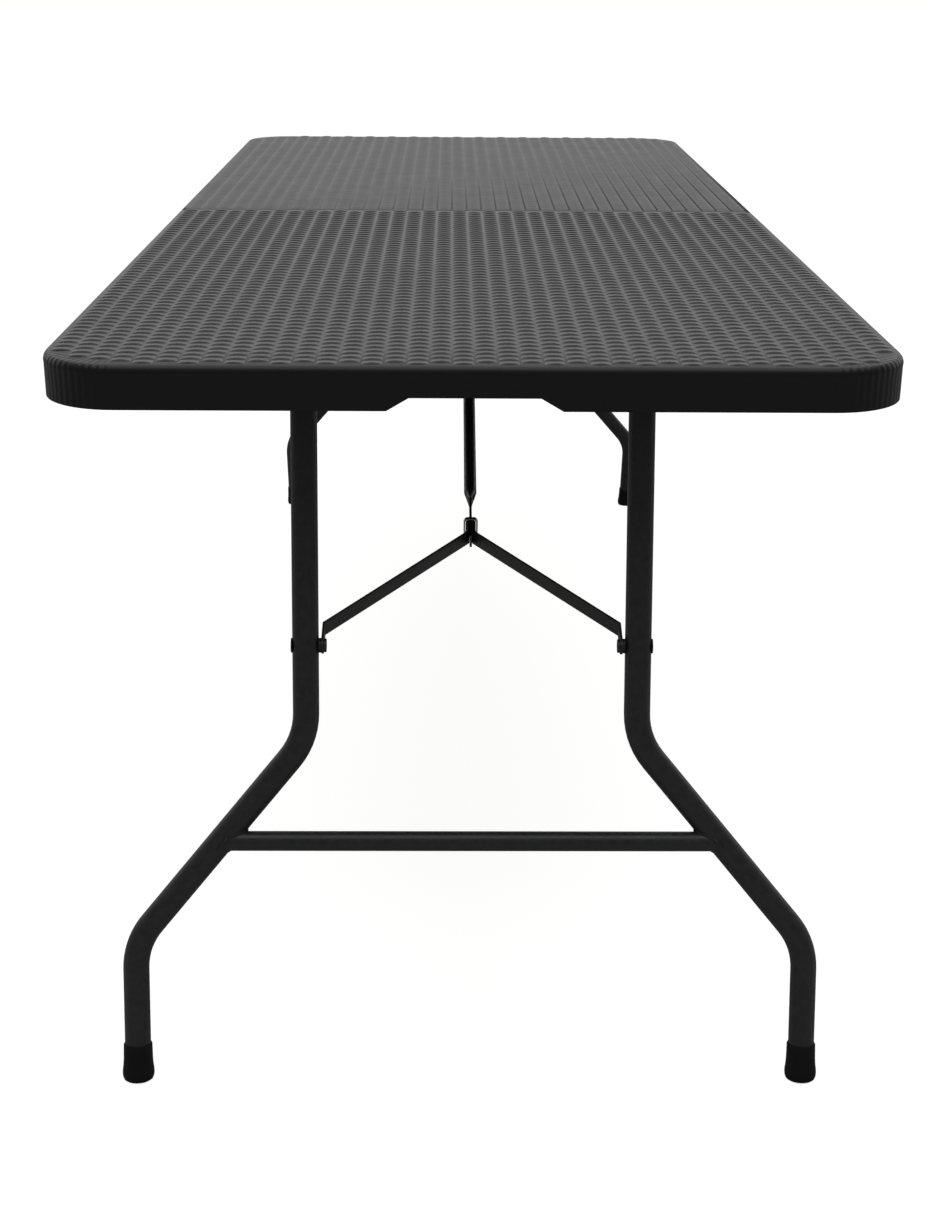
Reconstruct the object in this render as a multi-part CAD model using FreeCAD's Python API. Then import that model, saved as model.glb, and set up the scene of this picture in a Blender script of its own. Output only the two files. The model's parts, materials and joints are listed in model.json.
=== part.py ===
"""Half-folding table: two moulded tops hinged at mid length, each with a folding steel leg set.

Units are millimetres. X runs across the table, Y along it, Z up. The origin is on the floor below
the middle of the table. Each sub-part is built for the front half, whose outer end is at -Y, and
mirrored in Y for the rear half. "Depth" is measured down from the top surface.
"""
import FreeCAD, Part
import math
import os

V = FreeCAD.Vector

# table
width = 760.0
length = 1810.0
height = 700.0
fold_gap = 2.0
rim_depth = 39.0
rim_width = 26.0
corner_radius = 70.0
fold_corner_radius = 8.0
top_round = 6.0
skin = 3.0
panel_depth = 13.0

# moulded recess in the underside, for the folded strut and brace
recess_ceiling = 6.0
recess_half_width = 20.0
brace_pocket_half_width = 62.0
brace_pocket_length = 125.0

# notch in the outer end of the rim
notch_depth = 12.0
notch_top_half = 56.0
notch_mouth_half = 78.0

# leg set
leg_inset = 130.0
pivot_depth = 29.0
leg_lean = 13.0
tube_radius = 12.5
tube_wall = 1.2
leg_half_spacing = 157.0
foot_half_spacing = 323.0
upper_knee = 352.0
lower_knee = 553.0
knee_radius = 70.0
crossbar_drop = 451.0
crossbar_radius = 9.5
crossbar_wall = 1.2
crossbar_offset = 3.0
foot_cap_radius = 14.0
foot_base_radius = 15.3
foot_cap_length = 36.0
foot_base_length = 15.0
foot_sole = 6.0

# leg pivot
stub_radius = 6.0
running_gap = 0.05
stub_plug = 30.0
pivot_tube_half = 318.0
bush_radius = 7.5

# side rails
rail_outer = 353.5
rail_thickness = 2.0
rail_flange = 12.0
rail_depth = 38.0
rail_start = 76.0
rail_end = 880.0
screw_radius = 3.5
screw_head = 2.0

# brace and strut
brace_radius = 262.0
strut_inset = 836.0
strut_pin_depth = 13.0
folded_joint_depth = 17.5
strut_radius = 6.5
strut_wall = 1.0
plate_half = 1.2
plate_half_width = 7.5
plate_tail = 25.0
plate_length = 36.0
taper_length = 21.0
arm_thickness = 2.2
arm_half_width = 8.0
arm_gap = 0.15
arm_centre_tab = 18.0
arm_leg_tab = 24.0
arm_leg_gap = 2.5
bolt_radius = 4.0
bolt_head_radius = 7.0
bolt_head = 3.0
open_pivot_gap = 0.3
centre_rivet_radius = 3.0
centre_head_radius = 5.5
centre_head = 1.6

# lock ring
ring_half_width = 5.6
ring_half_height = 8.7
ring_wall = 1.7
ring_length = 4.0

# strut bracket
strut_pin_radius = 3.0
pin_head_radius = 5.0
lug_inner = 7.5
lug_thickness = 2.0
bracket_half_width = 46.0
bracket_half_length = 18.0

# fold hinge, its axis just below the rims, so that folded legs have room between closed halves
hinge_depth = 41.7
hinge_radius = 8.0
hinge_pin_radius = 4.0
hinge_leaf = 2.5
hinge_leaf_gap = 0.5
hinge_leaf_length = 85.0
hinge_leaf_top = 20.0

half_length = length / 2.0
leg_lean_rad = math.radians(leg_lean)


def end_y(inset):
    """Y of a place this far in from the outer end of the front half."""
    return inset - half_length


def depth_z(depth):
    return height - depth


def box(low, high):
    size = high - low
    return Part.makeBox(size.x, size.y, size.z, low)


def block(x0, x1, inset0, inset1, depth0, depth1):
    """A box between two insets from the outer end and two depths below the top."""
    return box(V(x0, end_y(inset0), depth_z(depth1)), V(x1, end_y(inset1), depth_z(depth0)))


def cylinder_x(radius, x0, x1, y, z):
    return Part.makeCylinder(radius, x1 - x0, V(x0, y, z), V(1, 0, 0))


def both_sides(shape):
    """The shape and its mirror image in X, as a list."""
    return [shape, shape.mirror(V(0, 0, 0), V(1, 0, 0))]


def tilt(shape, angle, centre):
    """Turn a shape built at the origin about X, then move it to its place."""
    turned = shape.copy()
    turned.rotate(V(0, 0, 0), V(1, 0, 0), angle)
    turned.translate(centre)
    return turned


# ---------------------------------------------------------------- linkage

leg_pivot = V(0, end_y(leg_inset), depth_z(pivot_depth))
strut_pin = V(0, end_y(strut_inset), depth_z(strut_pin_depth))


def solve_linkage():
    """Brace and strut lengths: in one line when open, and the joint at its own depth when folded."""
    reach = brace_radius
    leg_joint = leg_pivot + V(0, -reach * math.sin(leg_lean_rad), -reach * math.cos(leg_lean_rad))
    open_length = (strut_pin - leg_joint).Length
    folded_y = leg_pivot.y + reach
    back = folded_y - strut_pin.y
    drop = folded_joint_depth - pivot_depth
    slope = folded_joint_depth - strut_pin_depth
    low, high = open_length * 0.5, open_length
    for _ in range(60):
        strut = (low + high) / 2.0
        joint_back = -math.sqrt(strut ** 2 - slope ** 2)
        gap = math.hypot(joint_back - back, drop) - (open_length - strut)
        low, high = (low, strut) if gap > 0 else (strut, high)
    centre = strut_pin + (leg_joint - strut_pin) * (strut / open_length)
    return leg_joint, centre, strut, open_length - strut


leg_joint, centre_joint, strut_length, brace_length = solve_linkage()
strut_angle = math.degrees(math.atan2(strut_pin.z - centre_joint.z, strut_pin.y - centre_joint.y))


# ---------------------------------------------------------------- moulded top

def rounded_outline(x_half, inset0, inset1, outer_radius, inner_radius, depth):
    """Plan face of one half: large corners at the outer end, small ones at the fold."""
    y0, y1, z = end_y(inset0), end_y(inset1), depth_z(depth)
    outer, inner = outer_radius, inner_radius
    s = math.sqrt(0.5)

    def corner(cx, cy, radius, dx, dy):
        start = V(cx + dx * radius, cy, z)
        middle = V(cx + dx * radius * s, cy + dy * radius * s, z)
        end = V(cx, cy + dy * radius, z)
        return start, middle, end

    arcs = [
        corner(x_half - inner, y1 - inner, inner, 1, 1),
        tuple(reversed(corner(inner - x_half, y1 - inner, inner, -1, 1))),
        corner(outer - x_half, y0 + outer, outer, -1, -1),
        tuple(reversed(corner(x_half - outer, y0 + outer, outer, 1, -1))),
    ]
    edges = []
    for number, arc in enumerate(arcs):
        edges.append(Part.Arc(*arc).toShape())
        following = arcs[(number + 1) % len(arcs)]
        edges.append(Part.makeLine(arc[2], following[0]))
    return Part.Face(Part.Wire(edges))


def slab(x_half, inset0, inset1, outer_radius, inner_radius, depth0, depth1):
    face = rounded_outline(x_half, inset0, inset1, outer_radius, inner_radius, depth1)
    return face.extrude(V(0, 0, depth1 - depth0))


def recess_blocks(margin):
    """The strip for the strut and the wider pocket for the brace, grown by a margin."""
    joint_inset = strut_inset - strut_length
    wide = brace_pocket_half_width + margin
    narrow = recess_half_width + margin
    start = joint_inset - plate_tail - 4.0 - margin
    top = recess_ceiling - margin
    strip = block(-narrow, narrow, start, strut_inset + 14.0 + margin, top, panel_depth + 1.0)
    pocket = block(-wide, wide, start, start + brace_pocket_length + 2 * margin, top,
                   panel_depth + 1.0)
    return strip.fuse(pocket)


def rim_notch(margin):
    """The shallow opening with sloping ends in the bottom edge of the outer rim."""
    top = depth_z(rim_depth - notch_depth - margin)
    foot = depth_z(rim_depth + 1.0)
    half_top, half_mouth = notch_top_half + margin, notch_mouth_half + margin
    points = [V(-half_mouth, 0, foot), V(-half_top, 0, top), V(half_top, 0, top),
              V(half_mouth, 0, foot), V(-half_mouth, 0, foot)]
    prism = Part.Face(Part.makePolygon(points)).extrude(V(0, rim_width + 10.0 + margin, 0))
    slopes = [e for e in prism.Edges if len(e.Vertexes) == 2
              and abs(e.Vertexes[0].Point.y - e.Vertexes[1].Point.y) > 1.0
              and e.BoundBox.ZMax > depth_z(rim_depth)]
    prism = prism.makeFillet(8.0, slopes)
    prism.translate(V(0, end_y(-5.0), 0))
    return prism


def tabletop():
    fold = half_length - fold_gap / 2.0
    outer = slab(width / 2.0, 0.0, fold, corner_radius, fold_corner_radius, 0.0, rim_depth)
    top_edges = [e for e in outer.Edges if abs(e.BoundBox.ZMin - height) < 0.01]
    outer = outer.makeFillet(top_round, top_edges)
    inner_corner = corner_radius - rim_width
    tray = slab(width / 2.0 - rim_width, rim_width, fold + 60.0, inner_corner, 2.0,
                panel_depth, rim_depth + 1.0)
    shell = outer.cut(tray).cut(recess_blocks(0.0)).cut(rim_notch(0.0))
    hollow = slab(width / 2.0 - top_round, top_round, fold - top_round, corner_radius - top_round,
                  2.0, skin, panel_depth - skin)
    rim_hollow = slab(width / 2.0 - skin, skin, fold - skin, corner_radius - skin, 5.0,
                      2.0 * skin + 2.0, rim_depth - skin)
    core = slab(width / 2.0 - rim_width + skin, rim_width - skin, fold + 60.0,
                inner_corner + skin, 2.0, panel_depth - skin, rim_depth + 1.0)
    cavity = hollow.fuse(rim_hollow.cut(core)).cut(recess_blocks(skin)).cut(rim_notch(skin))
    return shell.cut(cavity)


# ---------------------------------------------------------------- steel under the top

def side_rail():
    """Angle section along the rim: one flange screwed to the panel, one carrying the leg pivot."""
    inner = rail_outer - rail_flange
    upright = block(rail_outer - rail_thickness, rail_outer, rail_start, rail_end, panel_depth,
                    rail_depth)
    shelf = block(inner, rail_outer, rail_start, rail_end, panel_depth,
                  panel_depth + rail_thickness)
    hole = cylinder_x(bush_radius, inner, rail_outer + 1.0, leg_pivot.y, leg_pivot.z)
    return upright.fuse(shelf).cut(hole.common(upright)).removeSplitter()


def rail_screws():
    """Pan-head screws up through the shelf of each rail into the moulded top."""
    screws = []
    x = rail_outer - rail_flange / 2.0 - 1.5
    for inset in (100.0, 300.0, 500.0, 700.0, 860.0):
        head = Part.makeCylinder(screw_radius, screw_head,
                                 V(x, end_y(inset), depth_z(panel_depth + rail_thickness)),
                                 V(0, 0, -1))
        screws += both_sides(head)
    return screws


def pivot_bush():
    bush = cylinder_x(bush_radius, rail_outer - 10.0, rail_outer, leg_pivot.y, leg_pivot.z)
    bore = cylinder_x(stub_radius + running_gap, rail_outer - 11.0, rail_outer + 1.0,
                      leg_pivot.y, leg_pivot.z)
    return bush.cut(bore)


def strut_bracket():
    """Two lugs inside the recess, each hung from a flange screwed beside it, and a tie between."""
    start, end = strut_inset - bracket_half_length, strut_inset + bracket_half_length
    under = panel_depth + rail_thickness
    lug = block(lug_inner, lug_inner + lug_thickness, strut_inset - 8.0, strut_inset + 8.0,
                recess_ceiling + 0.5, under)
    ear = cylinder_x(8.0, lug_inner, lug_inner + lug_thickness, strut_pin.y, strut_pin.z)
    low = block(lug_inner, lug_inner + lug_thickness, strut_inset - 9.0, strut_inset + 9.0,
                recess_ceiling + 0.5, rim_depth)
    flange = block(lug_inner, bracket_half_width, start, end, panel_depth, under)
    side = lug.fuse(ear.common(low)).fuse(flange)
    tie = block(-bracket_half_width, bracket_half_width, strut_inset + 10.0, end, panel_depth, under)
    left, right = both_sides(side)
    hole = cylinder_x(strut_pin_radius, -20.0, 20.0, strut_pin.y, strut_pin.z)
    bracket = left.fuse(right).fuse(tie).cut(hole)
    for head_space in both_sides(cylinder_x(pin_head_radius + 0.5, lug_inner + lug_thickness, 16.0,
                                            strut_pin.y, strut_pin.z)):
        bracket = bracket.cut(head_space)
    return bracket.removeSplitter()


def bracket_screws():
    screws = []
    for inset in (strut_inset - 10.0, strut_inset + 10.0):
        head = Part.makeCylinder(screw_radius, screw_head,
                                 V(33.0, end_y(inset), depth_z(panel_depth + rail_thickness)),
                                 V(0, 0, -1))
        screws += both_sides(head)
    return screws


def strut_bracket_pin():
    edge = lug_inner + lug_thickness
    pin = cylinder_x(strut_pin_radius, -edge, edge, strut_pin.y, strut_pin.z)
    head = cylinder_x(pin_head_radius, edge, edge + 1.8, strut_pin.y, strut_pin.z)
    left, right = both_sides(head)
    return pin.fuse(left).fuse(right)


# ---------------------------------------------------------------- fold hinge

hinge_z = depth_z(hinge_depth)
rear_leaf_outer = rail_outer - rail_thickness
rear_leaf_inner = rear_leaf_outer - hinge_leaf
front_leaf_outer = rear_leaf_inner - hinge_leaf_gap
front_leaf_inner = front_leaf_outer - hinge_leaf


def hinge_leaf_plate(x0, x1):
    """Plate on the right-hand rail with a round eye about the fold axis, for the front half."""
    start = half_length - hinge_leaf_length
    plate = block(x0, x1, start, half_length - 6.0, hinge_leaf_top, rail_depth - 2.0)
    eye = cylinder_x(hinge_radius, x0, x1, 0.0, hinge_z)
    y0 = end_y(half_length - 30.0)
    web = Part.Face(Part.makePolygon([
        V(x0, y0, depth_z(rail_depth - 2.0)), V(x0, -6.0, depth_z(hinge_leaf_top)),
        V(x0, 0.0, hinge_z + hinge_radius), V(x0, 0.0, hinge_z - hinge_radius),
        V(x0, y0, depth_z(rail_depth - 2.0))])).extrude(V(x1 - x0, 0, 0))
    return plate.fuse(web).fuse(eye)


def front_hinge_leaf():
    leaf = hinge_leaf_plate(front_leaf_inner, front_leaf_outer)
    start = half_length - hinge_leaf_length
    pad = block(front_leaf_outer, rear_leaf_outer, start, rail_end - 4.0, hinge_leaf_top,
                rail_depth - 2.0)
    hole = cylinder_x(hinge_pin_radius, front_leaf_inner - 1.0, rail_outer, 0.0, hinge_z)
    return leaf.fuse(pad).cut(hole).removeSplitter()


def rear_hinge_leaf():
    leaf = hinge_leaf_plate(rear_leaf_inner, rear_leaf_outer).mirror(V(0, 0, 0), V(0, 1, 0))
    hole = cylinder_x(hinge_pin_radius + running_gap, rear_leaf_inner - 1.0, rail_outer, 0.0,
                      hinge_z)
    return leaf.cut(hole).removeSplitter()


def hinge_pin():
    shank = cylinder_x(hinge_pin_radius, front_leaf_inner, rail_outer, 0.0, hinge_z)
    inner_head = cylinder_x(6.5, front_leaf_inner - 2.5, front_leaf_inner, 0.0, hinge_z)
    outer_head = cylinder_x(6.0, rear_leaf_outer + 0.2, rail_outer, 0.0, hinge_z)
    return shank.fuse(inner_head).fuse(outer_head)


# ---------------------------------------------------------------- leg set

foot_drop = leg_pivot.z / math.cos(leg_lean_rad)


def leg_path():
    """Centre line of the right-hand leg in the leg plane, running down from the pivot."""
    knees = [V(leg_half_spacing, 0, -upper_knee), V(foot_half_spacing, 0, -lower_knee)]
    points = [V(leg_half_spacing, 0, 0)] + knees + [V(foot_half_spacing, 0, -foot_drop + foot_sole)]
    edges = []
    start = points[0]
    for before, knee, after in zip(points, points[1:], points[2:]):
        into = (knee - before).normalize()
        out = (after - knee).normalize()
        turn = into.getAngle(out)
        tangent = knee_radius * math.tan(turn / 2.0)
        first, last = knee - into * tangent, knee + out * tangent
        inward = (out - into).normalize()
        middle = knee + inward * (knee_radius / math.cos(turn / 2.0) - knee_radius)
        edges.append(Part.makeLine(start, first))
        edges.append(Part.Arc(first, middle, last).toShape())
        start = last
    edges.append(Part.makeLine(start, points[-1]))
    return Part.Wire(edges)


def sweep(path, radius):
    ring = Part.Wire([Part.makeCircle(radius, V(leg_half_spacing, 0, 0), V(0, 0, -1))])
    return path.makePipeShell([ring], True, False)


def leg_solid(radius):
    return tilt(sweep(leg_path(), radius), -leg_lean, leg_pivot)


def pivot_tube_solid(radius):
    return cylinder_x(radius, -pivot_tube_half, pivot_tube_half, leg_pivot.y, leg_pivot.z)


def brace_bolt():
    """Bolt through the right-hand leg, with the spacer that meets the brace arm."""
    y, z = leg_joint.y, leg_joint.z
    leg_outer = leg_half_spacing + tube_radius
    leg_inner = leg_half_spacing - tube_radius
    spacer_end = leg_inner - arm_leg_gap + open_pivot_gap
    shank = cylinder_x(bolt_radius, spacer_end, leg_outer + bolt_head, y, z)
    head = cylinder_x(bolt_head_radius, leg_outer - 0.2, leg_outer + bolt_head, y, z)
    spacer = cylinder_x(bolt_head_radius, spacer_end, leg_inner + 0.2, y, z)
    return shank.fuse(head).fuse(spacer)


def leg_tube():
    tube = leg_solid(tube_radius).cut(leg_solid(tube_radius - tube_wall))
    return tube.cut(pivot_tube_solid(tube_radius)).cut(brace_bolt())


def leg_pivot_tube():
    return pivot_tube_solid(tube_radius).cut(pivot_tube_solid(tube_radius - tube_wall))


def pivot_stub():
    """Swaged plug in the end of the pivot tube, turned down to the journal in the bush."""
    y, z = leg_pivot.y, leg_pivot.z
    journal = cylinder_x(stub_radius, pivot_tube_half, rail_outer - 1.0, y, z)
    plug = cylinder_x(tube_radius - tube_wall, pivot_tube_half - stub_plug, pivot_tube_half, y, z)
    collar = cylinder_x(tube_radius, pivot_tube_half, pivot_tube_half + 3.0, y, z)
    return journal.fuse(plug).fuse(collar)


def crossbar():
    """Tube between the splayed parts of the legs, cut to their curve at both ends."""
    splay = (foot_half_spacing - leg_half_spacing) / (lower_knee - upper_knee)
    half = leg_half_spacing + splay * (crossbar_drop - upper_knee)
    outer = cylinder_x(crossbar_radius, -half, half, -crossbar_offset, -crossbar_drop)
    bore = cylinder_x(crossbar_radius - crossbar_wall, -half, half, -crossbar_offset, -crossbar_drop)
    bar = tilt(outer.cut(bore), -leg_lean, leg_pivot)
    for leg in both_sides(leg_solid(tube_radius)):
        bar = bar.cut(leg)
    return bar


def foot():
    """Rubber cap over the end of the right-hand leg, cut level where it stands on the floor."""
    end = foot_drop + 20.0
    x = foot_half_spacing
    top = foot_drop - foot_cap_length
    sleeve = Part.makeCylinder(foot_cap_radius, end - top, V(x, 0, -end), V(0, 0, 1))
    flare = foot_drop - foot_base_length
    base = Part.makeCylinder(foot_base_radius, end - flare, V(x, 0, -end), V(0, 0, 1))
    shoulder = Part.makeCone(foot_base_radius, foot_cap_radius, 3.0, V(x, 0, -flare), V(0, 0, 1))
    cap = tilt(sleeve.fuse(base).fuse(shoulder), -leg_lean, leg_pivot)
    below = box(V(-width, -length, -100.0), V(width, length, 0.0))
    return cap.cut(leg_solid(tube_radius)).cut(below)


# ---------------------------------------------------------------- brace, strut and lock ring

def place_link(shape):
    """From the frame of the open strut, whose +Y runs from the centre joint to the strut pin."""
    return tilt(shape, strut_angle, centre_joint)


def ribbon(points, thickness, low, high):
    """Flat bar bent in plan along a centre line, standing between two heights."""
    sides = [[], []]
    for number, point in enumerate(points):
        before = point - points[number - 1] if number else points[1] - point
        after = points[number + 1] - point if number + 1 < len(points) else before
        normals = [V(-d.y, d.x, 0).normalize() for d in (before, after)]
        mitre = (normals[0] + normals[1]).normalize()
        reach = thickness / 2.0 / mitre.dot(normals[0])
        sides[0].append(point + mitre * reach)
        sides[1].append(point - mitre * reach)
    outline = sides[0] + sides[1][::-1]
    face = Part.Face(Part.makePolygon(outline + outline[:1]))
    face.translate(V(0, 0, low))
    return face.extrude(V(0, 0, high - low))


tab_inner = plate_half + arm_gap
leg_tab_outer = leg_half_spacing - tube_radius - arm_leg_gap


def brace_arm():
    """Right-hand arm: a tab beside the strut plate, a straight run, and a tab beside the leg."""
    near = tab_inner + arm_thickness / 2.0
    far = leg_tab_outer - arm_thickness / 2.0
    points = [V(near, 0, 0), V(near, -arm_centre_tab, 0),
              V(far, -(brace_length - arm_leg_tab), 0), V(far, -brace_length, 0)]
    arm = ribbon(points, arm_thickness, -arm_half_width, arm_half_width)
    centre_end = cylinder_x(arm_half_width, tab_inner, tab_inner + arm_thickness, 0, 0)
    leg_end = cylinder_x(arm_half_width, leg_tab_outer - arm_thickness, leg_tab_outer,
                         -brace_length, 0)
    centre_hole = cylinder_x(centre_rivet_radius, 0.0, 10.0, 0, 0)
    leg_hole = cylinder_x(bolt_radius, leg_tab_outer - 5.0, leg_tab_outer + 1.0, -brace_length, 0)
    arm = arm.fuse(centre_end).fuse(leg_end).cut(centre_hole).cut(leg_hole)
    return place_link(arm.removeSplitter())


def arm_rivet():
    """Rivet in the leg tab of the right-hand arm, with its head on the inner side."""
    inner = leg_tab_outer - arm_thickness
    shank = cylinder_x(bolt_radius, inner, leg_tab_outer, -brace_length, 0)
    head = cylinder_x(6.5, inner - 2.5, inner, -brace_length, 0)
    return place_link(shank.fuse(head))


def centre_rivet():
    outer = tab_inner + arm_thickness
    shank = cylinder_x(centre_rivet_radius, -outer, outer, 0, 0)
    head = cylinder_x(centre_head_radius, outer, outer + centre_head, 0, 0)
    left, right = both_sides(head)
    return place_link(shank.fuse(left).fuse(right))


def strut():
    """Tube from the bracket pin, pressed flat where the brace arms clasp it."""
    tube_start = plate_length + taper_length
    tube = Part.makeCylinder(strut_radius, strut_length - tube_start, V(0, tube_start, 0),
                             V(0, 1, 0))
    pin_end = cylinder_x(strut_radius, -strut_radius, strut_radius, strut_length, 0)
    pin_end = pin_end.common(Part.makeCylinder(strut_radius, 20.0, V(0, strut_length - 10.0, 0),
                                               V(0, 1, 0)))
    bore = Part.makeCylinder(strut_radius - strut_wall, strut_length - tube_start - 24.0,
                             V(0, tube_start + 4.0, 0), V(0, 1, 0))
    round_end = Part.Wire([Part.makeCircle(strut_radius, V(0, tube_start, 0), V(0, 1, 0))])
    flat = Part.Ellipse(V(0, plate_length, plate_half_width), V(plate_half, plate_length, 0),
                        V(0, plate_length, 0))
    taper = Part.makeLoft([Part.Wire([flat.toShape()]), round_end], True, True)
    plate = box(V(-plate_half, -plate_tail, -plate_half_width),
                V(plate_half, plate_length + 3.0, plate_half_width))
    stop = box(V(plate_half, plate_length + 9.0, 0.0), V(plate_half + 3.2, plate_length + 15.0, 3.5))
    hole = cylinder_x(centre_rivet_radius + running_gap, -10.0, 10.0, 0, 0)
    pin_hole = cylinder_x(strut_pin_radius + running_gap, -10.0, 10.0, strut_length, 0)
    body = tube.fuse(pin_end).fuse(taper).fuse(plate).fuse(stop)
    return place_link(body.cut(bore).cut(hole).cut(pin_hole))


def lock_ring():
    """Closed strap round the plate and both tabs, slid up the strut to let the brace fold."""
    outer = V(ring_half_width + ring_wall, ring_length / 2.0, ring_half_height + ring_wall)
    inner = V(ring_half_width, ring_length, ring_half_height)
    strap = box(outer * -1, outer)
    corners = [e for e in strap.Edges if e.BoundBox.YLength > 1.0]
    strap = strap.makeFillet(4.5, corners)
    opening = box(inner * -1, inner)
    corners = [e for e in opening.Edges if e.BoundBox.YLength > 1.0]
    opening = opening.makeFillet(2.5, corners)
    return place_link(strap.cut(opening))


# ---------------------------------------------------------------- output

def write(name, *solids):
    shape = solids[0] if len(solids) == 1 else Part.makeCompound(list(solids))
    shape.exportStep("parts/" + name + ".step")


def write_half(half, flip):
    """Write every piece that both halves have, mirrored in Y where flip is true."""
    def placed(shape):
        return shape.mirror(V(0, 0, 0), V(0, 1, 0)) if flip else shape

    single = {
        "tabletop": tabletop(), "strut_bracket": strut_bracket(),
        "strut_bracket_pin": strut_bracket_pin(), "leg_pivot_tube": leg_pivot_tube(),
        "leg_crossbar": crossbar(), "brace_centre_rivet": centre_rivet(), "strut": strut(),
        "lock_ring": lock_ring(),
    }
    paired = {
        "side_rail": side_rail(), "pivot_bush": pivot_bush(), "pivot_stub": pivot_stub(),
        "leg_tube": leg_tube(), "foot": foot(), "brace_arm": brace_arm(),
    }
    groups = {
        "rail_screws": rail_screws(), "bracket_screws": bracket_screws(),
        "brace_bolts": both_sides(brace_bolt()), "brace_rivets": both_sides(arm_rivet()),
    }
    for name, shape in single.items():
        write(half + "_" + name, placed(shape))
    for name, shape in paired.items():
        right, left = both_sides(shape)
        write(half + "_right_" + name, placed(right))
        write(half + "_left_" + name, placed(left))
    for name, shapes in groups.items():
        write(half + "_" + name, *[placed(shape) for shape in shapes])


os.makedirs("parts", exist_ok=True)
write_half("front", False)
write_half("rear", True)
for side, leaf in zip(("right", "left"), both_sides(front_hinge_leaf())):
    write(side + "_hinge_front_leaf", leaf)
for side, leaf in zip(("right", "left"), both_sides(rear_hinge_leaf())):
    write(side + "_hinge_rear_leaf", leaf)
for side, pin in zip(("right", "left"), both_sides(hinge_pin())):
    write(side + "_hinge_pin", pin)

print("leg pivot", leg_pivot)
print("strut pin", strut_pin)
print("centre joint", centre_joint, "strut angle", round(strut_angle, 4))
print("strut", round(strut_length, 3), "brace", round(brace_length, 3))
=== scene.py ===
import json
import math
import bmesh
import bpy
from mathutils import Matrix, Vector

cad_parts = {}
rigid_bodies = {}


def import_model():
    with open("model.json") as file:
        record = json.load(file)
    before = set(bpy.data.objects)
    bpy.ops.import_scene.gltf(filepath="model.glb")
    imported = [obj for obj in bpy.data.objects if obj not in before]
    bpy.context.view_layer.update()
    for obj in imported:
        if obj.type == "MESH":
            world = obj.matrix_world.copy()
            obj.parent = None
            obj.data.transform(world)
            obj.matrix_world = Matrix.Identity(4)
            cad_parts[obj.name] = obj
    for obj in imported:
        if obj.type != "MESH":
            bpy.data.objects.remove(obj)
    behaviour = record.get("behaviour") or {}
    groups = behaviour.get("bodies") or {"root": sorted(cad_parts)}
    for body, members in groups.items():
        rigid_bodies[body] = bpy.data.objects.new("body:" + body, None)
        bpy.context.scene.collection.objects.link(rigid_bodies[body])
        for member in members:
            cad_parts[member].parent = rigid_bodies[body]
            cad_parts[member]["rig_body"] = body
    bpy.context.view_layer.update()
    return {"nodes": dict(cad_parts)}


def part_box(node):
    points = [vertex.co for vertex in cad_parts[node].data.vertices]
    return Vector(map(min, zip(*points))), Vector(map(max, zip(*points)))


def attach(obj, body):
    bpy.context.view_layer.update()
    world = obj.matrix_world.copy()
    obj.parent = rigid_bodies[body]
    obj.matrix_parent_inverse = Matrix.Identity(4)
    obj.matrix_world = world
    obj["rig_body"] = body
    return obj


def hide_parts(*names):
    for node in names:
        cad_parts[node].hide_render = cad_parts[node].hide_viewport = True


# Half-folding banquet table: two woven-look moulded tops on black bent-tube legs.
# X is the width, Y the length, Z up, in metres. The front half is the one at -Y.

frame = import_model()
nodes = frame["nodes"]
endSign = {"front": -1, "rear": 1}   # which way along Y each half points
sideSign = {"right": 1, "left": -1}
print("frame loaded with", len(nodes), "parts")


def linearColour(hexText):
    channels = [int(hexText[i:i + 2], 16) / 255 for i in (1, 3, 5)]
    return [c / 12.92 if c <= 0.04045 else ((c + 0.055) / 1.055) ** 2.4 for c in channels] + [1.0]


def addNode(tree, kind, settings, inputs):
    node = tree.nodes.new("ShaderNode" + kind)
    for name, value in settings.items():
        setattr(node, name, value)
    for socket, value in inputs.items():
        if isinstance(value, bpy.types.NodeSocket):
            tree.links.new(value, node.inputs[socket])
        else:
            node.inputs[socket].default_value = value
    return node


def newMaterial(name):
    material = bpy.data.materials.new(name)
    material.use_nodes = True
    material.node_tree.nodes.clear()
    return material, material.node_tree


def closeMaterial(tree, shader):
    addNode(tree, "OutputMaterial", {}, {"Surface": shader.outputs[0]})


noiseSpan = (0.3, 0.7)   # nearly all of a noise pattern's values lie between these


def mottledBase(tree, look, place):
    # One soft noise moves colour and roughness together, between the dark and the light patches.
    patches = addNode(tree, "TexNoise", {}, {
        "Vector": place, "Scale": 1 / look["patchSize"], "Detail": look["patchDetail"]})
    colour = addNode(tree, "Mix", {"data_type": "RGBA"}, {
        0: patches.outputs["Fac"], 6: linearColour(look["dark"]), 7: linearColour(look["light"])})
    roughness = addNode(tree, "MapRange", {}, {
        0: patches.outputs["Fac"], 1: noiseSpan[0], 2: noiseSpan[1],
        3: look["roughness"][0], 4: look["roughness"][1]})
    return {"Base Color": colour.outputs[2], "Roughness": roughness.outputs[0]}


def grainBump(tree, look, place):
    grain = addNode(tree, "TexNoise", {}, {
        "Vector": place, "Scale": 1 / look["grainSize"], "Detail": look["grainDetail"]})
    return addNode(tree, "Bump", {}, {
        "Height": grain.outputs["Fac"], "Distance": look["grainDepth"], "Strength": 1.0})


def closeSurface(tree, look, base, bump):
    shader = addNode(tree, "BsdfPrincipled", {}, {**base, **look["shader"], "Normal": bump.outputs[0]})
    closeMaterial(tree, shader)


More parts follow.
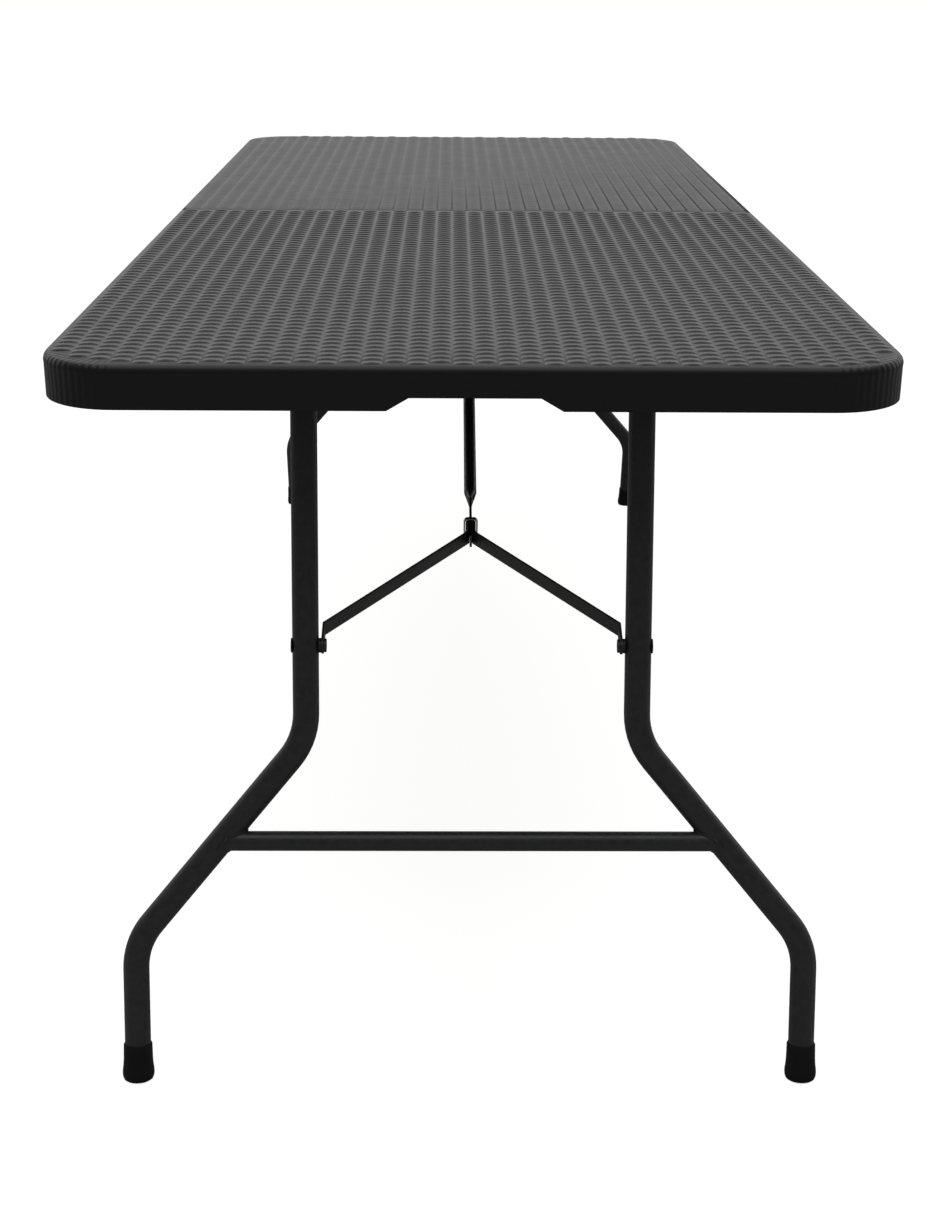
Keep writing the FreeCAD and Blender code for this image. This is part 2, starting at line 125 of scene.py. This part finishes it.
# Blow-moulded HDPE, dyed black right through: satin, soft highlights and a fine pebble grain.
hdpeLook = {
    "dark": "#0d0d0e", "light": "#111112", "roughness": (0.40, 0.44), "patchSize": 0.03, "patchDetail": 3.0,
    "shader": {"IOR": 1.5, "Specular IOR Level": 0.35},
    "grainSize": 0.0012, "grainDetail": 2.0, "grainDepth": 0.00005,
    "fluteStep": 0.0072, "fluteDepth": 0.00045, "fluteBand": (0.046, 0.052),
    "cornerCentre": (0.310, 0.835), "cornerRadius": 0.070,
    "dimpleStep": 0.024, "dimpleRim": (0.16, 0.36), "dimpleFacing": (-0.95, -0.7), "dimpleDepth": 0.0012,
    "lineScale": (40.0, 850.0, 200.0), "lineDepth": 0.00012,
}


def addFlutes(tree, place, bump):
    # Ribs square to the edge, run round the corners by arc length, so the end faces stay smooth.
    look = hdpeLook
    folded = addNode(tree, "VectorMath", {"operation": "ABSOLUTE"}, {0: place})
    past = addNode(tree, "VectorMath", {"operation": "SUBTRACT"}, {
        0: folded.outputs[0], 1: look["cornerCentre"] + (0.0,)})
    clipped = addNode(tree, "VectorMath", {"operation": "MAXIMUM"}, {0: past.outputs[0], 1: (0.0, 0.0, 0.0)})
    flat = addNode(tree, "VectorMath", {"operation": "MULTIPLY"}, {0: clipped.outputs[0], 1: (1.0, 1.0, 0.0)})
    reach = addNode(tree, "VectorMath", {"operation": "LENGTH"}, {0: flat.outputs[0]})
    parts = addNode(tree, "SeparateXYZ", {}, {0: flat.outputs[0]})
    turn = addNode(tree, "Math", {"operation": "ARCTAN2"}, {0: parts.outputs[1], 1: parts.outputs[0]})
    straight = addNode(tree, "SeparateXYZ", {}, {0: folded.outputs[0]})
    onSide = addNode(tree, "Math", {"operation": "MINIMUM"}, {0: straight.outputs[1], 1: look["cornerCentre"][1]})
    along = addNode(tree, "Math", {"operation": "MULTIPLY_ADD"}, {
        0: turn.outputs[0], 1: look["cornerRadius"], 2: onSide.outputs[0]})
    phase = addNode(tree, "Math", {"operation": "MULTIPLY"}, {
        0: along.outputs[0], 1: 2 * math.pi / look["fluteStep"]})
    wave = addNode(tree, "Math", {"operation": "COSINE"}, {0: phase.outputs[0]})
    band = addNode(tree, "MapRange", {"interpolation_type": "SMOOTHSTEP"}, {
        0: reach.outputs["Value"], 1: look["fluteBand"][0], 2: look["fluteBand"][1], 3: 0.0, 4: 0.5})
    flutes = addNode(tree, "Math", {"operation": "MULTIPLY"}, {0: wave.outputs[0], 1: band.outputs[0]})
    return addNode(tree, "Bump", {}, {
        "Height": flutes.outputs[0], "Distance": look["fluteDepth"], "Strength": 1.0, "Normal": bump.outputs[0]})


def addDimples(tree, place, normal, bump):
    # Shallow dimples where the underside is pinched to the top skin.
    look = hdpeLook
    cells = addNode(tree, "VectorMath", {"operation": "SCALE"}, {0: place, "Scale": 1 / look["dimpleStep"]})
    cell = addNode(tree, "VectorMath", {"operation": "FRACTION"}, {0: cells.outputs[0]})
    centred = addNode(tree, "VectorMath", {"operation": "SUBTRACT"}, {0: cell.outputs[0], 1: (0.5, 0.5, 0.0)})
    level = addNode(tree, "VectorMath", {"operation": "MULTIPLY"}, {0: centred.outputs[0], 1: (1.0, 1.0, 0.0)})
    radius = addNode(tree, "VectorMath", {"operation": "LENGTH"}, {0: level.outputs[0]})
    bowl = addNode(tree, "MapRange", {"interpolation_type": "SMOOTHSTEP"}, {
        0: radius.outputs["Value"], 1: look["dimpleRim"][0], 2: look["dimpleRim"][1], 3: 0.0, 4: 1.0})
    facing = addNode(tree, "SeparateXYZ", {}, {0: normal})
    below = addNode(tree, "MapRange", {}, {
        0: facing.outputs[2], 1: look["dimpleFacing"][0], 2: look["dimpleFacing"][1], 3: 1.0, 4: 0.0})
    dimples = addNode(tree, "Math", {"operation": "MULTIPLY"}, {0: bowl.outputs[0], 1: below.outputs[0]})
    return addNode(tree, "Bump", {}, {
        "Height": dimples.outputs[0], "Distance": look["dimpleDepth"], "Strength": 1.0, "Normal": bump.outputs[0]})


def addStrandLines(tree, place, bump):
    # Fine lines along each strand, as cane has; drawn 1.2 mm apart so that they show.
    look = hdpeLook
    stretched = addNode(tree, "Mapping", {}, {"Vector": place, "Scale": look["lineScale"]})
    lines = addNode(tree, "TexNoise", {}, {"Vector": stretched.outputs[0], "Scale": 1.0, "Detail": 1.0})
    return addNode(tree, "Bump", {}, {
        "Height": lines.outputs["Fac"], "Distance": look["lineDepth"], "Strength": 1.0, "Normal": bump.outputs[0]})


def hdpeMaterial(name, woven):
    material, tree = newMaterial(name)
    texture = addNode(tree, "TexCoord", {}, {})
    place = texture.outputs["Object"]
    base = mottledBase(tree, hdpeLook, place)
    bump = grainBump(tree, hdpeLook, place)
    if woven:
        bump = addStrandLines(tree, place, bump)
    else:
        bump = addFlutes(tree, place, bump)
        bump = addDimples(tree, place, texture.outputs["Normal"], bump)
    closeSurface(tree, hdpeLook, base, bump)
    return material


# Steel with bright zinc plate: pale grey metal with faint rolling lines and a cloudy sheen.
zincLook = {
    "dark": "#a3a6aa", "light": "#d3d5d8", "roughness": (0.24, 0.42), "patchSize": 0.004, "patchDetail": 3.0,
    "shader": {"Metallic": 1.0}, "lineScale": (3000.0, 300.0, 3000.0), "lineDepth": 0.00002,
}


def zincMaterial():
    look = zincLook
    material, tree = newMaterial("brightZincPlate")
    place = addNode(tree, "TexCoord", {}, {}).outputs["Object"]
    base = mottledBase(tree, look, place)
    stretched = addNode(tree, "Mapping", {}, {"Vector": place, "Scale": look["lineScale"]})
    lines = addNode(tree, "TexNoise", {}, {"Vector": stretched.outputs[0], "Scale": 1.0, "Detail": 1.0})
    bump = addNode(tree, "Bump", {}, {
        "Height": lines.outputs["Fac"], "Distance": look["lineDepth"], "Strength": 1.0})
    closeSurface(tree, look, base, bump)
    return material


# Black finishes with a fine grain of their own. Powder coat baked on steel: nearly black, semi-matt, a slight
# orange peel. Cast rubber on the feet: matt, scuffed. Moulded nylon at the leg pivots: smooth, a low sheen.
grainedLooks = {
    "blackPowderCoat": {"dark": "#141415", "light": "#333336", "roughness": (0.34, 0.52),
                        "patchSize": 0.006, "patchDetail": 4.0,
                        "grainSize": 0.0026, "grainDetail": 2.0, "grainDepth": 0.00016,
                        "shader": {"IOR": 1.5, "Specular IOR Level": 0.5}},
    "mattFootRubber": {"dark": "#0c0c0c", "light": "#161616", "roughness": (0.66, 0.82),
                       "patchSize": 1 / 120, "patchDetail": 4.0,
                       "grainSize": 0.0009, "grainDetail": 3.0, "grainDepth": 0.00007,
                       "shader": {"IOR": 1.52, "Specular IOR Level": 0.25}},
    "mouldedNylon": {"dark": "#111111", "light": "#1b1b1b", "roughness": (0.40, 0.52),
                     "patchSize": 1 / 120, "patchDetail": 4.0,
                     "grainSize": 0.0008, "grainDetail": 3.0, "grainDepth": 0.00003,
                     "shader": {"IOR": 1.53, "Specular IOR Level": 0.4}},
}


def grainedMaterial(name):
    look = grainedLooks[name]
    material, tree = newMaterial(name)
    place = addNode(tree, "TexCoord", {}, {}).outputs["Object"]
    closeSurface(tree, look, mottledBase(tree, look, place), grainBump(tree, look, place))
    return material


mouldedTop = hdpeMaterial("blowMouldedHdpe", woven=False)
wovenTop = hdpeMaterial("wovenHdpeRelief", woven=True)
blackSteel = grainedMaterial("blackPowderCoat")
zincPlate = zincMaterial()
footRubber = grainedMaterial("mattFootRubber")
bushNylon = grainedMaterial("mouldedNylon")
finishes = {"moulded_top": mouldedTop, "black_steel": blackSteel, "zinc_steel": zincPlate,
            "foot_rubber": footRubber, "bush_nylon": bushNylon}
print("materials made")


def slotOf(name):
    if name.endswith("tabletop"):
        return "moulded_top"
    if name.endswith("_foot"):
        return "foot_rubber"
    if name.endswith("_bush"):
        return "bush_nylon"
    bright = ("lock_ring", "_screws", "_pin")
    return "zinc_steel" if name.endswith(bright) and "hinge" not in name else "black_steel"


for name, node in nodes.items():
    node.data.materials.clear()
    node.data.materials.append(finishes[slotOf(name)])


def bodyOf(name):
    return nodes[name]["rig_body"]


def finishPiece(bm, name, material, body, smoothAngle=35.0):
    mesh = bpy.data.meshes.new(name)
    bm.to_mesh(mesh)
    bm.free()
    mesh.materials.append(material)
    mesh.shade_smooth()
    mesh.set_sharp_from_angle(angle=math.radians(smoothAngle))
    piece = bpy.data.objects.new(name, mesh)
    bpy.context.scene.collection.objects.link(piece)
    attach(piece, body)
    return piece


# The woven relief: strands along X, each a low pillow over one column, staggered by half in the next,
# with its steep side towards the outer end of its half.
weave = {
    "columnStep": 0.0196, "columnsEachSide": 19, "rowStep": 0.0160, "cells": 6,
    "strandWidth": 0.0161, "strandReach": 0.0096, "edgeRise": 0.0002, "crown": 0.00125, "seat": -0.0002,
    "crowding": 1.55,                                    # rows of vertices are closer on the steep side
    "archShape": 0.9, "crownShape": 0.6, "lean": 0.28, "bow": 0.0018,
    "firstRow": (0.881, 0.889), "lastRow": 0.0090, "lastSlack": 0.0005, "foldEdge": 0.0013,
    "cornerCentre": (0.310, 0.835), "cornerReach": 0.0535,
}


def strandMesh():
    w = weave
    bm = bmesh.new()
    bmesh.ops.create_grid(bm, x_segments=w["cells"], y_segments=w["cells"], size=1.0)
    for vert in bm.verts:
        along, step = vert.co.x, (vert.co.y + 1) / 2
        across = step ** w["crowding"]
        arch = max(0.0, math.cos(math.pi / 2 * along)) ** w["archShape"]
        crest = max(0.0, math.sin(math.pi * across ** w["lean"]))
        vert.co = (along * w["strandReach"], (across - 0.5) * w["strandWidth"] - w["bow"] * along ** 2,
                   w["seat"] + arch * (w["edgeRise"] - w["seat"])
                   + arch ** w["crownShape"] * w["crown"] * crest)
    mesh = bpy.data.meshes.new("strand")
    bm.to_mesh(mesh)
    bm.free()
    return mesh


def makeWeave(half):
    w = weave
    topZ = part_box(half + "_tabletop")[1].z
    strand = strandMesh()
    if half == "rear":                              # a half turn, as the second moulding is fitted
        strand.transform(Matrix.Rotation(math.pi, 4, "Z"))
    bm = bmesh.new()
    here = Vector((0.0, 0.0, 0.0))
    count = 0
    for column in range(-w["columnsEachSide"], w["columnsEachSide"]):
        x = (column + 0.5) * w["columnStep"]
        y = w["firstRow"][column % 2]
        while y > w["lastRow"] - w["rowStep"] / 2 + w["lastSlack"]:
            corner = Vector((max(abs(x) - w["cornerCentre"][0], 0), max(y - w["cornerCentre"][1], 0)))
            if corner.x == 0 or corner.y == 0 or corner.length < w["cornerReach"]:
                place = Vector((x, y * endSign[half], topZ))
                strand.transform(Matrix.Translation(place - here))
                bm.from_mesh(strand)
                here = place
                count += 1
            y -= w["rowStep"]
    bpy.data.meshes.remove(strand)
    bmesh.ops.bisect_plane(bm, geom=bm.verts[:] + bm.edges[:] + bm.faces[:], clear_outer=True,
                           plane_co=(0, w["foldEdge"] * endSign[half], 0), plane_no=(0, -endSign[half], 0))
    finishPiece(bm, half + "_woven_relief", wovenTop, half + "_half", 60.0)
    print(half, "weave:", count, "strands")


for half in endSign:
    makeWeave(half)


# A crisp moulded lip along the fold, so that the halves meet in a fine line.
foldLip = {"halfLength": 0.3722, "near": 0.0011, "far": 0.0100, "low": 0.6930, "edge": 0.0012,
           "below": 0.00005}


def makeFoldLip(half):
    f = foldLip
    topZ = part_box(half + "_tabletop")[1].z
    bm = bmesh.new()
    bmesh.ops.create_cube(bm, size=1.0)
    bmesh.ops.scale(bm, verts=bm.verts, vec=(2 * f["halfLength"], f["far"] - f["near"], topZ - f["low"]))
    bmesh.ops.translate(bm, verts=bm.verts, vec=(
        0, endSign[half] * (f["near"] + f["far"]) / 2, (topZ + f["low"]) / 2 - f["below"]))
    bmesh.ops.bevel(bm, geom=bm.edges[:], affect="EDGES", offset=f["edge"], segments=3, profile=0.5, material=-1)
    finishPiece(bm, half + "_fold_lip", mouldedTop, half + "_half")


for half in endSign:
    makeFoldLip(half)


# The three outer edges roll over softly: a wide, slightly flattened shoulder from the weave to the skirt.
shoulder = {"cornerCentre": (0.310, 0.835), "cornerRadius": 0.070,
            "from": 0.0060, "inward": 0.0078, "down": 0.0092,   # the CAD fillet, and how far in and down it grows
            "flatness": 0.35, "foldZone": 0.0075, "skinShare": 0.97, "slack": 0.00001}


def makeShoulder(half):
    s = shoulder
    name = half + "_tabletop"
    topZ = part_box(name)[1].z
    bm = bmesh.new()
    bm.from_mesh(nodes[name].data)
    bmesh.ops.remove_doubles(bm, verts=bm.verts, dist=0.00001)
    for vert in bm.verts:
        past = Vector((abs(vert.co.x) - s["cornerCentre"][0], abs(vert.co.y) - s["cornerCentre"][1]))
        outward = Vector((max(past.x, 0.0), max(past.y, 0.0)))
        inset, drop = s["cornerRadius"] - outward.length, topZ - vert.co.z
        if max(inset, drop) > s["from"] + s["slack"]:
            continue
        across, up = s["from"] - inset, s["from"] - drop
        share = math.hypot(across, up) / s["from"]
        if share < s["skinShare"] and abs(vert.co.y) > s["foldZone"]:
            continue                                # the inner skin
        turn = math.atan2(across, up)
        part = turn / (math.pi / 2)
        rounded, straight = 1 - s["flatness"], s["flatness"]
        newInset = s["inward"] * (1 - share * (rounded * math.sin(turn) + straight * part))
        newDrop = s["down"] * (1 - share * (rounded * math.cos(turn) + straight * (1 - part)))
        shift = outward.normalized() * (inset - newInset)
        vert.co += Vector((math.copysign(shift.x, vert.co.x), math.copysign(shift.y, vert.co.y),
                           drop - newDrop))
    piece = finishPiece(bm, half + "_rolled_top", mouldedTop, half + "_half", 25.0)
    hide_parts(name)


for half in endSign:
    makeShoulder(half)
print("tops finished")


def roundedCopy(name, width, segments=2, sharper=32.0):
    # A pressed or cut part with its arrises broken, in place of the CAD node.
    bm = bmesh.new()
    bm.from_mesh(nodes[name].data)
    bmesh.ops.remove_doubles(bm, verts=bm.verts, dist=0.00001)
    bmesh.ops.dissolve_limit(bm, angle_limit=math.radians(1.0), verts=bm.verts, edges=bm.edges)
    sharp = [e for e in bm.edges if len(e.link_faces) == 2 and e.calc_face_angle(0.0) > math.radians(sharper)]
    bmesh.ops.bevel(bm, geom=sharp, affect="EDGES", offset=width, offset_type="OFFSET", segments=segments,
                    profile=0.5, material=-1, clamp_overlap=True, loop_slide=True)
    bmesh.ops.triangulate(bm, faces=[f for f in bm.faces if len(f.verts) > 4])
    piece = finishPiece(bm, name + "_formed", finishes[slotOf(name)], bodyOf(name))
    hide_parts(name)
    return piece


edgeBreaks = {"side_rail": 0.0006, "brace_arm": 0.0005, "strut_bracket": 0.0005, "lock_ring": 0.0004,
              "hinge_front_leaf": 0.0006, "hinge_rear_leaf": 0.0006}
for name in sorted(nodes):
    for part, width in edgeBreaks.items():
        if name.endswith(part):
            roundedCopy(name, width)
print("pressed parts finished")


# The bolts through the legs have low heads, which hardly stand out from the tube.
boltHead = {"tubeSide": 0.1695, "lowered": 0.35}


def makeBoltHeads(name):
    bm = bmesh.new()
    bm.from_mesh(nodes[name].data)
    bmesh.ops.remove_doubles(bm, verts=bm.verts, dist=0.00001)
    for vert in bm.verts:
        proud = abs(vert.co.x) - boltHead["tubeSide"]
        if proud > 0:
            vert.co.x -= math.copysign(proud * (1 - boltHead["lowered"]), vert.co.x)
    piece = finishPiece(bm, name + "_low", blackSteel, bodyOf(name), 30.0)
    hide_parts(name)


for half in endSign:
    makeBoltHeads(half + "_brace_bolts")


# Each leg set leans outwards from its pivot, in degrees from upright.
legSet = {"pivotY": 0.775, "pivotZ": 0.671, "lean": 13.0}


def legAxes(half):
    # Down along the legs, and square to them in the YZ plane.
    lean = math.radians(legSet["lean"])
    return (Vector((0.0, endSign[half] * math.sin(lean), -math.cos(lean))),
            Vector((0.0, endSign[half] * math.cos(lean), math.sin(lean))))


# Rubber cap on each leg: thin lip, waisted sleeve, swollen sole with a round edge.
footCap = {
    "past": 0.0022, "segments": 40,
    "profile": (                                         # radius and height above the sole
        (0.01255, 0.0365), (0.01330, 0.0372), (0.01380, 0.0362), (0.01395, 0.0300), (0.01410, 0.0220),
        (0.01450, 0.0160), (0.01520, 0.0110), (0.01535, 0.0080), (0.01500, 0.0045), (0.01390, 0.0018),
        (0.01200, 0.0004), (0.00700, 0.0000)),
}


def makeFoot(half, side):
    c = footCap
    name = half + "_" + side + "_foot"
    low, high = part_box(name)
    down = legAxes(half)[0]
    floorY = legSet["pivotY"] * endSign[half] + down.y * legSet["pivotZ"] / -down.z
    end = Vector(((low.x + high.x) / 2, floorY, 0.0)) + down * c["past"]
    bm = bmesh.new()
    verts = [bm.verts.new((radius, 0.0, up)) for radius, up in c["profile"]]
    edges = [bm.edges.new(pair) for pair in zip(verts, verts[1:])]
    bmesh.ops.spin(bm, geom=verts + edges, cent=(0, 0, 0), axis=(0, 0, 1), angle=2 * math.pi,
                   steps=c["segments"], use_merge=True, use_duplicate=False)
    bmesh.ops.remove_doubles(bm, verts=bm.verts, dist=0.00002)
    bmesh.ops.holes_fill(bm, edges=[e for e in bm.edges if e.is_boundary], sides=0)
    turn = Vector((0, 0, -1)).rotation_difference(down).to_matrix().to_4x4()
    bmesh.ops.transform(bm, matrix=Matrix.Translation(end) @ turn, verts=bm.verts)
    cut = bmesh.ops.bisect_plane(bm, geom=bm.verts[:] + bm.edges[:] + bm.faces[:], clear_outer=True,
                                 plane_co=(0, 0, 0), plane_no=(0, 0, -1))
    bmesh.ops.holes_fill(bm, edges=[e for e in cut["geom_cut"] if isinstance(e, bmesh.types.BMEdge)], sides=0)
    bmesh.ops.recalc_face_normals(bm, faces=bm.faces)
    piece = finishPiece(bm, half + "_" + side + "_foot_cap", footRubber, bodyOf(name), 50.0)
    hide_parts(name)


for half in endSign:
    for side in sideSign:
        makeFoot(half, side)
print("foot caps made")


# Weld beads where the crossbar meets the splayed legs.
bead = {"radius": 0.0021, "around": 56, "across": 8, "ripple": 0.00025, "ripples": 19, "sink": 0.2,
        "tube": 0.0125, "kneeX": 0.157, "kneeDrop": 0.352, "lowX": 0.323, "lowDrop": 0.553}


def makeWeld(half, side):
    b = bead
    low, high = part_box(half + "_leg_crossbar")
    barY, barZ, barRadius = (low.y + high.y) / 2, (low.z + high.z) / 2, (high.z - low.z) / 2
    down, out = legAxes(half)
    fromPivot = Vector((0.0, barY - legSet["pivotY"] * endSign[half], barZ - legSet["pivotZ"]))
    drop, offset = fromPivot.dot(down), fromPivot.dot(out)
    splay = math.atan2(b["lowX"] - b["kneeX"], b["lowDrop"] - b["kneeDrop"])
    axisX = b["kneeX"] + (drop - b["kneeDrop"]) * math.tan(splay)
    bm = bmesh.new()
    ring = bmesh.ops.create_circle(bm, cap_ends=False, segments=b["across"], radius=b["radius"])["verts"]
    bmesh.ops.rotate(bm, verts=ring, cent=(0, 0, 0), matrix=Matrix.Rotation(math.pi / 2, 3, "X"))
    bmesh.ops.translate(bm, verts=ring, vec=(barRadius, 0, 0))
    bmesh.ops.spin(bm, geom=bm.verts[:] + bm.edges[:], cent=(0, 0, 0), axis=(0, 0, 1), angle=2 * math.pi,
                   steps=b["around"], use_merge=True, use_duplicate=False)
    bmesh.ops.remove_doubles(bm, verts=bm.verts, dist=0.00002)
    for vert in bm.verts:
        angle = math.atan2(vert.co.y, vert.co.x)
        spread = Vector((vert.co.x, vert.co.y)).length + b["ripple"] * math.sin(b["ripples"] * angle)
        outward, downward = spread * math.cos(angle), spread * math.sin(angle)
        fromAxis = min(abs(offset + outward), b["tube"] * 0.98)
        wall = math.sqrt(b["tube"] ** 2 - fromAxis ** 2) / math.cos(splay)
        x = axisX + downward * math.tan(splay) - wall - vert.co.z + b["radius"] * b["sink"]
        vert.co = Vector((x * sideSign[side], barY, barZ)) + out * outward + down * downward
    bmesh.ops.recalc_face_normals(bm, faces=bm.faces)
    finishPiece(bm, half + "_" + side + "_crossbar_weld", blackSteel, half + "_legs", 60.0)


for half in endSign:
    for side in sideSign:
        makeWeld(half, side)
print("welds made")


# Pan-head screws with a cross recess, one for each blank head in the CAD node.
screw = {"recessLong": 0.0021, "recessWide": 0.0005, "recessDeep": 0.0012,
         "domeInset": 0.0011, "domeRise": 0.0007, "roundInset": 0.45, "roundRise": 0.25}


def islandBoxes(bm):
    waiting = set(bm.verts)
    boxes = []
    while waiting:
        island, edge = set(), [waiting.pop()]
        while edge:
            vert = edge.pop()
            island.add(vert)
            near = {e.other_vert(vert) for e in vert.link_edges} & waiting
            waiting -= near
            edge += near
        low = Vector([min(v.co[i] for v in island) for i in range(3)])
        high = Vector([max(v.co[i] for v in island) for i in range(3)])
        boxes.append((low, high))
    return sorted(boxes, key=lambda pair: tuple(pair[0]))


def makeScrews(name):
    s = screw
    source = bmesh.new()
    source.from_mesh(nodes[name].data)
    bmesh.ops.remove_doubles(source, verts=source.verts, dist=0.00001)
    places = islandBoxes(source)
    source.free()
    bm = bmesh.new()
    for low, high in places:
        radius, height = (high.x - low.x) / 2, high.z - low.z
        rings = []
        for ringRadius, z in ((radius, 0.0), (radius, -height + s["domeRise"]),
                              (radius - s["domeInset"] * s["roundInset"],
                               -height + s["domeRise"] * s["roundRise"]),
                              (radius - s["domeInset"], -height)):
            ring = bmesh.ops.create_circle(bm, cap_ends=False, segments=12, radius=ringRadius)["verts"]
            bmesh.ops.translate(bm, verts=ring, vec=(0, 0, z))
            rings.append(ring)
        for z in (-height, -height + s["recessDeep"]):
            ring = bmesh.ops.create_circle(bm, cap_ends=False, segments=12, radius=radius)["verts"]
            ring.sort(key=lambda v: math.atan2(v.co.y, v.co.x) % (2 * math.pi))
            arm = (Vector((s["recessWide"],) * 2 + (z,)), Vector((s["recessWide"], s["recessLong"], z)),
                   Vector((-s["recessWide"], s["recessLong"], z)))
            for index, vert in enumerate(ring):
                vert.co = Matrix.Rotation(math.pi / 2 * (index // 3), 3, "Z") @ arm[index % 3]
            rings.append(ring)
        for one, other in zip(rings, rings[1:]):
            loops = [e for e in bm.edges if e.is_valid and all(v in one or v in other for v in e.verts)]
            bmesh.ops.bridge_loops(bm, edges=loops)
        bmesh.ops.contextual_create(bm, geom=rings[0])
        bmesh.ops.contextual_create(bm, geom=rings[-1])
        moved = [v for ring in rings for v in ring]
        bmesh.ops.translate(bm, verts=moved, vec=((low.x + high.x) / 2, (low.y + high.y) / 2, high.z))
    bmesh.ops.recalc_face_normals(bm, faces=bm.faces)
    piece = finishPiece(bm, name + "_cross_head", zincPlate, bodyOf(name), 30.0)
    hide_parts(name)


for half in endSign:
    makeScrews(half + "_rail_screws")
    makeScrews(half + "_bracket_screws")
print("screws made")


# Floor, light and camera.
studio = {
    "floor": "#f6f6f5", "floorSize": 60.0, "floorGlow": 0.95, "floorBounce": 0.42, "backdrop": "#ffffff",
    "frontLight": 0.22, "backWall": 1.25, "lightSpan": (0.0, 0.95),
    "overhead": {"place": (0.0, -0.9, 2.8), "aim": (0.0, -0.9, 0.0), "size": (3.2, 3.2), "power": 48.0},
}
scene = bpy.context.scene
scene.view_settings.view_transform = "Standard"
scene.view_settings.look = "None"


def makeFloor():
    bm = bmesh.new()
    bmesh.ops.create_grid(bm, x_segments=1, y_segments=1, size=studio["floorSize"] / 2)
    mesh = bpy.data.meshes.new("studio_floor")
    bm.to_mesh(mesh)
    bm.free()
    material, tree = newMaterial("paleStudioFloor")
    # Pale paper to the eye, with soft shadows; it throws less light back up than it shows.
    paper = addNode(tree, "BsdfDiffuse", {}, {"Color": [studio["floorBounce"]] * 3 + [1.0]})
    glow = addNode(tree, "Emission", {}, {"Color": linearColour(studio["floor"]), "Strength": studio["floorGlow"]})
    shown = addNode(tree, "AddShader", {}, {0: paper.outputs[0], 1: glow.outputs[0]})
    rays = addNode(tree, "LightPath", {}, {})
    shader = addNode(tree, "MixShader", {}, {
        0: rays.outputs["Is Camera Ray"], 1: paper.outputs[0], 2: shown.outputs[0]})
    closeMaterial(tree, shader)
    mesh.materials.append(material)
    floor = bpy.data.objects.new("studio_floor", mesh)
    scene.collection.objects.link(floor)


def makeWorld():
    # Pale all round to the eye; as light it is brighter behind the table than in front.
    world = bpy.data.worlds.new("studio")
    world.use_nodes = True
    tree = world.node_tree
    tree.nodes.clear()
    direction = addNode(tree, "TexCoord", {}, {})
    parts = addNode(tree, "SeparateXYZ", {}, {0: direction.outputs["Generated"]})
    level = addNode(tree, "MapRange", {"interpolation_type": "SMOOTHSTEP"}, {
        0: parts.outputs[1], 1: studio["lightSpan"][0], 2: studio["lightSpan"][1],
        3: studio["frontLight"], 4: studio["backWall"]})
    light = addNode(tree, "Background", {}, {"Strength": level.outputs[0]})
    pale = addNode(tree, "Background", {}, {"Color": linearColour(studio["backdrop"]), "Strength": 1.0})
    rays = addNode(tree, "LightPath", {}, {})
    mixed = addNode(tree, "MixShader", {}, {
        0: rays.outputs["Is Camera Ray"], 1: light.outputs[0], 2: pale.outputs[0]})
    addNode(tree, "OutputWorld", {}, {"Surface": mixed.outputs[0]})
    scene.world = world


def makeLight(name):
    s = studio[name]
    data = bpy.data.lights.new(name, "AREA")
    data.shape = "RECTANGLE"
    data.size, data.size_y = s["size"]
    data.energy = s["power"]
    light = bpy.data.objects.new(name, data)
    light.location = s["place"]
    light.rotation_euler = (Vector(s["aim"]) - Vector(s["place"])).to_track_quat("-Z", "Y").to_euler()
    scene.collection.objects.link(light)


viewpoint = {"place": (-0.0211, -2.3783, 1.0441), "tiltDown": 20.902, "turn": 0.702, "roll": 0.4097,
             "lens": 52.324, "sensor": 36.0}   # the sensor is the long side of the frame


def makeCamera():
    v = viewpoint
    data = bpy.data.cameras.new("camera")
    data.lens, data.sensor_width = v["lens"], v["sensor"]
    data.clip_start, data.clip_end = 0.05, 200.0
    camera = bpy.data.objects.new("camera", data)
    turned = (Matrix.Rotation(math.radians(-v["turn"]), 4, "Z")
              @ Matrix.Rotation(math.radians(90 - v["tiltDown"]), 4, "X")
              @ Matrix.Rotation(math.radians(v["roll"]), 4, "Z"))
    camera.matrix_world = Matrix.Translation(v["place"]) @ turned
    scene.collection.objects.link(camera)
    scene.camera = camera


makeFloor()
makeWorld()
makeLight("overhead")
makeCamera()
print("stage, lights and camera set")
